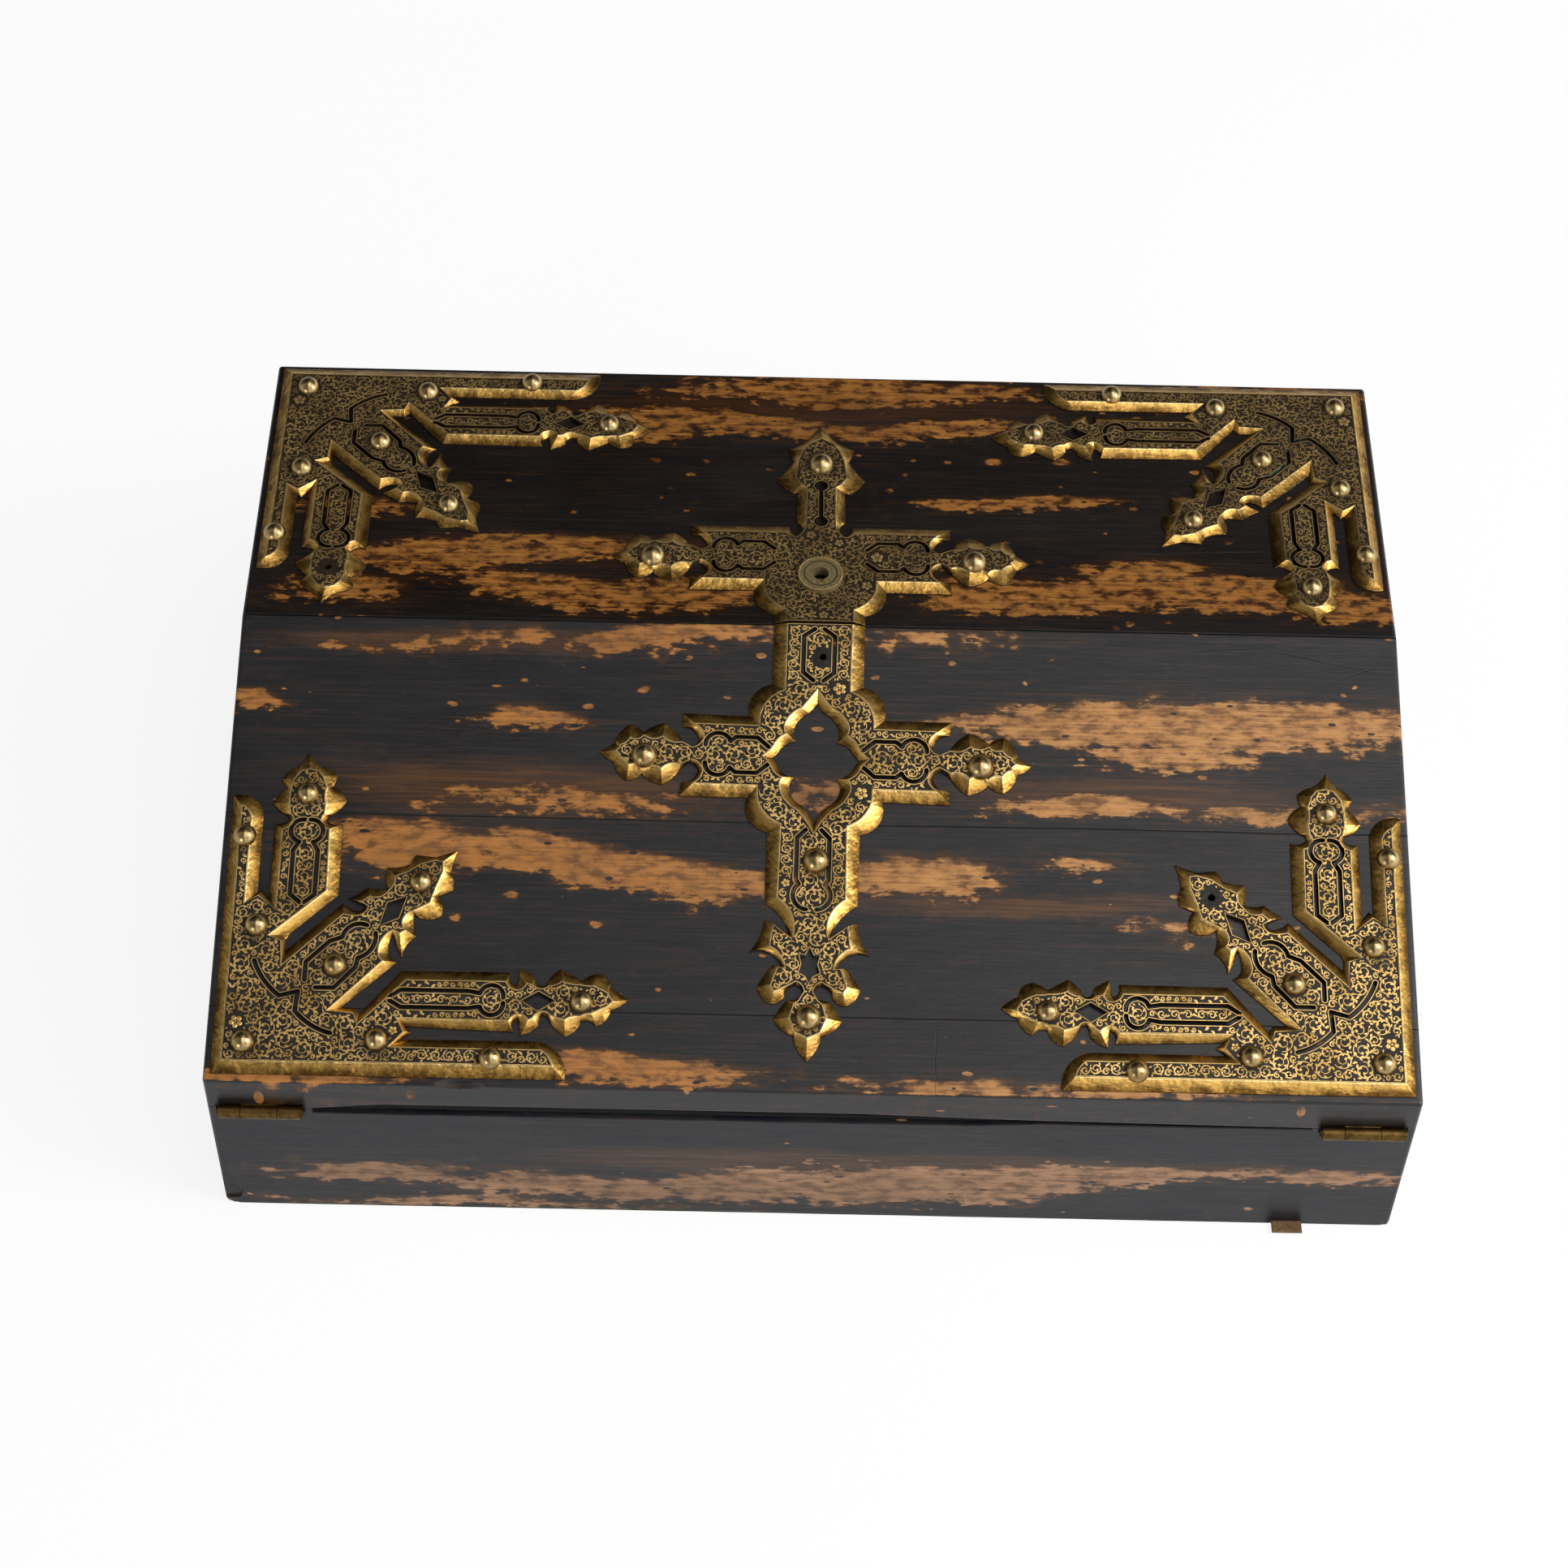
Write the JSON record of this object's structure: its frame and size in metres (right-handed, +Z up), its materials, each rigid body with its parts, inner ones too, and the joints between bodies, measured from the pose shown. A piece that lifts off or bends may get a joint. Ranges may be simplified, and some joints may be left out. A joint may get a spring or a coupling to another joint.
{
  "type": "stationery box",
  "caption": "Slope-front wooden stationery box with pierced brass mounts, a hinged sloping flap, a hinged lid with a lock, a letter rack, a pen stand and inkwells.",
  "frame": {"origin": "middle of the underside, on the surface the box stands on", "axes": "+X across the box, +Y from the front to the back, +Z up"},
  "size_m": [0.36, 0.264, 0.1151],
  "materials": {
    "coromandel": "near-black polished coromandel wood with tan streaks",
    "inner_wood": "polished mahogany",
    "brass": "engraved brass, darkened in the cuts",
    "polished_brass": "polished brass",
    "steel": "dull steel",
    "baize": "green baize",
    "velvet": "black velvet",
    "pad_leather": "dark red tooled leather",
    "tab_leather": "brown leather",
    "silk": "padded silk",
    "glass": "clear cut glass"
  },
  "bodies": {
    "case": {"front_wall": "coromandel", "back_wall": "coromandel", "left_wall": "coromandel", "right_wall": "coromandel", "bottom_board": "inner_wood", "base_baize": "baize", "base_tab": "tab_leather", "velvet_strip": "velvet", "case_hinge_screws": "brass", "rack_left_cheek": "inner_wood", "rack_right_cheek": "inner_wood", "rack_divider_1": "inner_wood", "rack_divider_2": "inner_wood", "rack_divider_3": "inner_wood", "rack_divider_4": "inner_wood", "pen_stand": "inner_wood", "inkwell_left": "glass", "inkwell_right": "glass", "inkwell_left_collar": "polished_brass", "inkwell_right_collar": "polished_brass", "front_left_hinge_case_leaf": "brass", "front_left_hinge_pin": "brass", "back_left_hinge_case_leaf": "brass", "back_left_hinge_pin": "brass", "front_right_hinge_case_leaf": "brass", "front_right_hinge_pin": "brass", "back_right_hinge_case_leaf": "brass", "back_right_hinge_pin": "brass"},
    "flap": {"flap_board": "coromandel", "writing_pad": "pad_leather", "flap_left_mount": "brass", "flap_right_mount": "brass", "flap_cross_mount": "brass", "flap_studs": "polished_brass", "flap_hinge_screws": "brass", "front_left_hinge_flap_leaf": "brass", "front_right_hinge_flap_leaf": "brass", "strike_plate": "brass", "strike_screws": "brass"},
    "lid": {"lid_board": "coromandel", "lid_lining": "silk", "lid_left_mount": "brass", "lid_right_mount": "brass", "lid_cross_mount": "brass", "lid_studs": "polished_brass", "escutcheon": "brass", "lock_case": "brass", "lock_cover": "brass", "lock_screws": "brass", "lid_hinge_screws": "brass", "back_left_hinge_lid_leaf": "brass", "back_right_hinge_lid_leaf": "brass"},
    "bolt": {"lock_bolt": "steel"},
    "cap_left": {"inkwell_left_cap": "polished_brass"},
    "cap_right": {"inkwell_right_cap": "polished_brass"}
  },
  "joints": [
    {"name": "flap_hinge", "type": "hinge", "parent": "case", "child": "flap", "pos_m": [0, -0.12975, 0.054], "axis": [1, 0, 0], "range_deg": [0, 175]},
    {"name": "lid_hinge", "type": "hinge", "parent": "case", "child": "lid", "pos_m": [0, 0.12975, 0.0961], "axis": [-1, 0, 0], "range_deg": [0, 105]},
    {"name": "lock_bolt_slide", "type": "slide", "parent": "lid", "child": "bolt", "axis": [0, -1, 0], "range_m": [0, 0.005]},
    {"name": "ink_cap_left_hinge", "type": "hinge", "parent": "case", "child": "cap_left", "pos_m": [-0.1486, 0.01365, 0.0476], "axis": [-1, 0, 0], "range_deg": [0, 95]},
    {"name": "ink_cap_right_hinge", "type": "hinge", "parent": "case", "child": "cap_right", "pos_m": [0.1486, 0.01365, 0.0476], "axis": [-1, 0, 0], "range_deg": [0, 95]}
  ]
}
